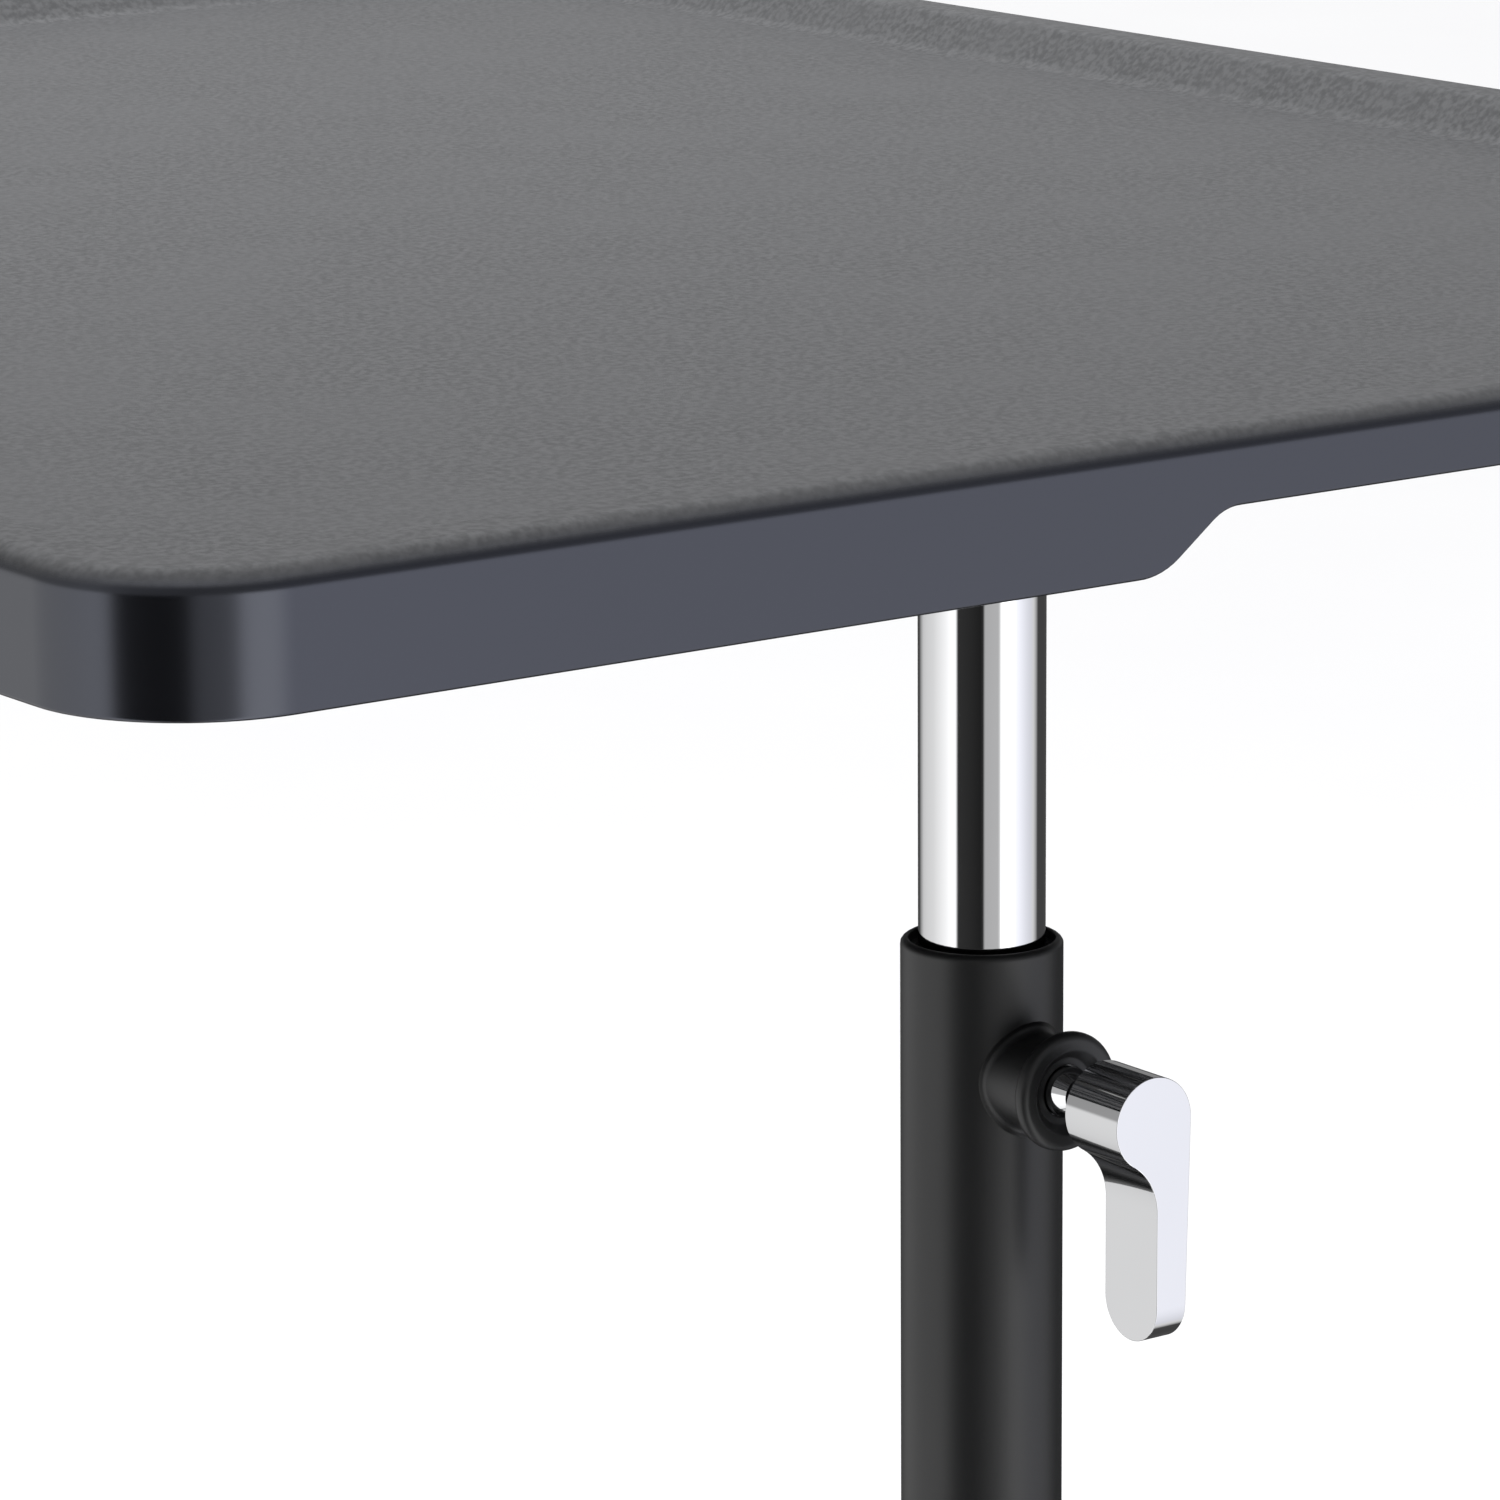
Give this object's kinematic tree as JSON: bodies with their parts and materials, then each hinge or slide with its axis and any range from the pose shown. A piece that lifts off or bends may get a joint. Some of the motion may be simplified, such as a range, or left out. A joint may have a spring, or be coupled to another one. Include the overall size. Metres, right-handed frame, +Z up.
{
  "type": "overbed table",
  "caption": "Overbed table: rimmed black tray on a chrome telescopic column with a flag clamp lever, on a wheeled H base with braked castors.",
  "frame": {"origin": "on the floor, under the middle of the tray", "axes": "+Z up; +Y along the tray, away from the column, out over the bed; +X across the tray; the clamp lever points to -Y"},
  "size_m": [0.55, 0.7, 0.7673],
  "materials": {
    "tray_plastic": "black moulded plastic, fine spark texture on the top, satin on the skirt",
    "black_powder_coat": "satin black powder coat",
    "chrome": "bright chrome plate",
    "zinc_steel": "bright zinc plate",
    "brass": "turned brass",
    "black_plastic": "black moulded nylon",
    "wheel_plastic": "black moulded nylon",
    "tyre_rubber": "dark grey elastomer"
  },
  "bodies": {
    "base": {"outer_column_tube": "black_powder_coat", "column_guide_bush": "black_plastic", "clamp_boss": "black_powder_coat", "boss_end_ring": "black_powder_coat", "thread_insert": "zinc_steel", "column_flange": "black_powder_coat", "flange_bolts": "zinc_steel", "flange_nuts": "zinc_steel", "cross_beam": "black_powder_coat", "leg_left": "black_powder_coat", "leg_right": "black_powder_coat", "leg_end_caps": "black_plastic", "castor_stem_nuts": "zinc_steel", "castor_front_left_stem": "zinc_steel", "castor_front_right_stem": "zinc_steel", "castor_rear_left_stem": "zinc_steel", "castor_rear_right_stem": "zinc_steel"},
    "glide": {"glide_sleeve": "black_plastic"},
    "upper": {"tray": "tray_plastic", "tray_arm_left": "black_powder_coat", "tray_arm_right": "black_powder_coat", "tray_arm_caps": "black_plastic", "tray_screws": "zinc_steel", "tray_mount_plate": "black_powder_coat", "tray_cross_strap": "black_powder_coat", "column_socket": "black_powder_coat", "socket_screws": "zinc_steel", "inner_column_tube": "chrome", "tube_end_plug": "black_plastic", "glide_clip": "zinc_steel"},
    "clamp_pad": {"pressure_pad": "brass"},
    "lever": {"clamp_lever": "chrome", "clamp_spindle": "chrome"},
    "castor_front_left_swivel": {"castor_front_left_fork": "black_powder_coat", "castor_front_left_axle": "zinc_steel"},
    "castor_front_left_roll": {"castor_front_left_wheel": "wheel_plastic", "castor_front_left_tyre": "tyre_rubber"},
    "castor_front_left_brake": {"castor_front_left_brake_pedal": "black_plastic"},
    "castor_front_right_swivel": {"castor_front_right_fork": "black_powder_coat", "castor_front_right_axle": "zinc_steel"},
    "castor_front_right_roll": {"castor_front_right_wheel": "wheel_plastic", "castor_front_right_tyre": "tyre_rubber"},
    "castor_front_right_brake": {"castor_front_right_brake_pedal": "black_plastic"},
    "castor_rear_left_swivel": {"castor_rear_left_fork": "black_powder_coat", "castor_rear_left_axle": "zinc_steel"},
    "castor_rear_left_roll": {"castor_rear_left_wheel": "wheel_plastic", "castor_rear_left_tyre": "tyre_rubber"},
    "castor_rear_left_brake": {"castor_rear_left_brake_pedal": "black_plastic"},
    "castor_rear_right_swivel": {"castor_rear_right_fork": "black_powder_coat", "castor_rear_right_axle": "zinc_steel"},
    "castor_rear_right_roll": {"castor_rear_right_wheel": "wheel_plastic", "castor_rear_right_tyre": "tyre_rubber"},
    "castor_rear_right_brake": {"castor_rear_right_brake_pedal": "black_plastic"}
  },
  "joints": [
    {"name": "height_slide", "type": "slide", "parent": "base", "child": "glide", "axis": [0, 0, 1], "range_m": [-0.07, 0.2]},
    {"name": "column_swivel", "type": "hinge", "parent": "glide", "child": "upper", "pos_m": [0, -0.21, 0.4], "axis": [0, 0, 1], "continuous": true},
    {"name": "pad_slide", "type": "slide", "parent": "base", "child": "clamp_pad", "axis": [0, -1, 0], "range_m": [0, 0.00105]},
    {"name": "lever_turn", "type": "hinge", "parent": "clamp_pad", "child": "lever", "pos_m": [0, -0.21, 0.6145], "axis": [0, -1, 0], "range_deg": [0, 300]},
    {"name": "castor_front_left_swivel_turn", "type": "hinge", "parent": "base", "child": "castor_front_left_swivel", "pos_m": [-0.22, 0.285, 0.056], "axis": [0, 0, 1], "continuous": true},
    {"name": "castor_front_left_wheel_roll", "type": "hinge", "parent": "castor_front_left_swivel", "child": "castor_front_left_roll", "pos_m": [-0.22, 0.269, 0.025], "axis": [1, 0, 0], "continuous": true},
    {"name": "castor_front_left_brake_press", "type": "hinge", "parent": "castor_front_left_swivel", "child": "castor_front_left_brake", "pos_m": [-0.22, 0.297, 0.0485], "axis": [1, 0, 0], "range_deg": [0, 15]},
    {"name": "castor_front_right_swivel_turn", "type": "hinge", "parent": "base", "child": "castor_front_right_swivel", "pos_m": [0.22, 0.285, 0.056], "axis": [0, 0, 1], "continuous": true},
    {"name": "castor_front_right_wheel_roll", "type": "hinge", "parent": "castor_front_right_swivel", "child": "castor_front_right_roll", "pos_m": [0.22, 0.269, 0.025], "axis": [1, 0, 0], "continuous": true},
    {"name": "castor_front_right_brake_press", "type": "hinge", "parent": "castor_front_right_swivel", "child": "castor_front_right_brake", "pos_m": [0.22, 0.297, 0.0485], "axis": [1, 0, 0], "range_deg": [0, 15]},
    {"name": "castor_rear_left_swivel_turn", "type": "hinge", "parent": "base", "child": "castor_rear_left_swivel", "pos_m": [-0.22, -0.275, 0.056], "axis": [0, 0, 1], "continuous": true},
    {"name": "castor_rear_left_wheel_roll", "type": "hinge", "parent": "castor_rear_left_swivel", "child": "castor_rear_left_roll", "pos_m": [-0.22, -0.291, 0.025], "axis": [1, 0, 0], "continuous": true},
    {"name": "castor_rear_left_brake_press", "type": "hinge", "parent": "castor_rear_left_swivel", "child": "castor_rear_left_brake", "pos_m": [-0.22, -0.263, 0.0485], "axis": [1, 0, 0], "range_deg": [0, 15]},
    {"name": "castor_rear_right_swivel_turn", "type": "hinge", "parent": "base", "child": "castor_rear_right_swivel", "pos_m": [0.22, -0.275, 0.056], "axis": [0, 0, 1], "continuous": true},
    {"name": "castor_rear_right_wheel_roll", "type": "hinge", "parent": "castor_rear_right_swivel", "child": "castor_rear_right_roll", "pos_m": [0.22, -0.291, 0.025], "axis": [1, 0, 0], "continuous": true},
    {"name": "castor_rear_right_brake_press", "type": "hinge", "parent": "castor_rear_right_swivel", "child": "castor_rear_right_brake", "pos_m": [0.22, -0.263, 0.0485], "axis": [1, 0, 0], "range_deg": [0, 15]}
  ],
  "couplings": [
    {"joint": "pad_slide", "follows": "lever_turn", "m_per_rad": 0.00019894}
  ]
}
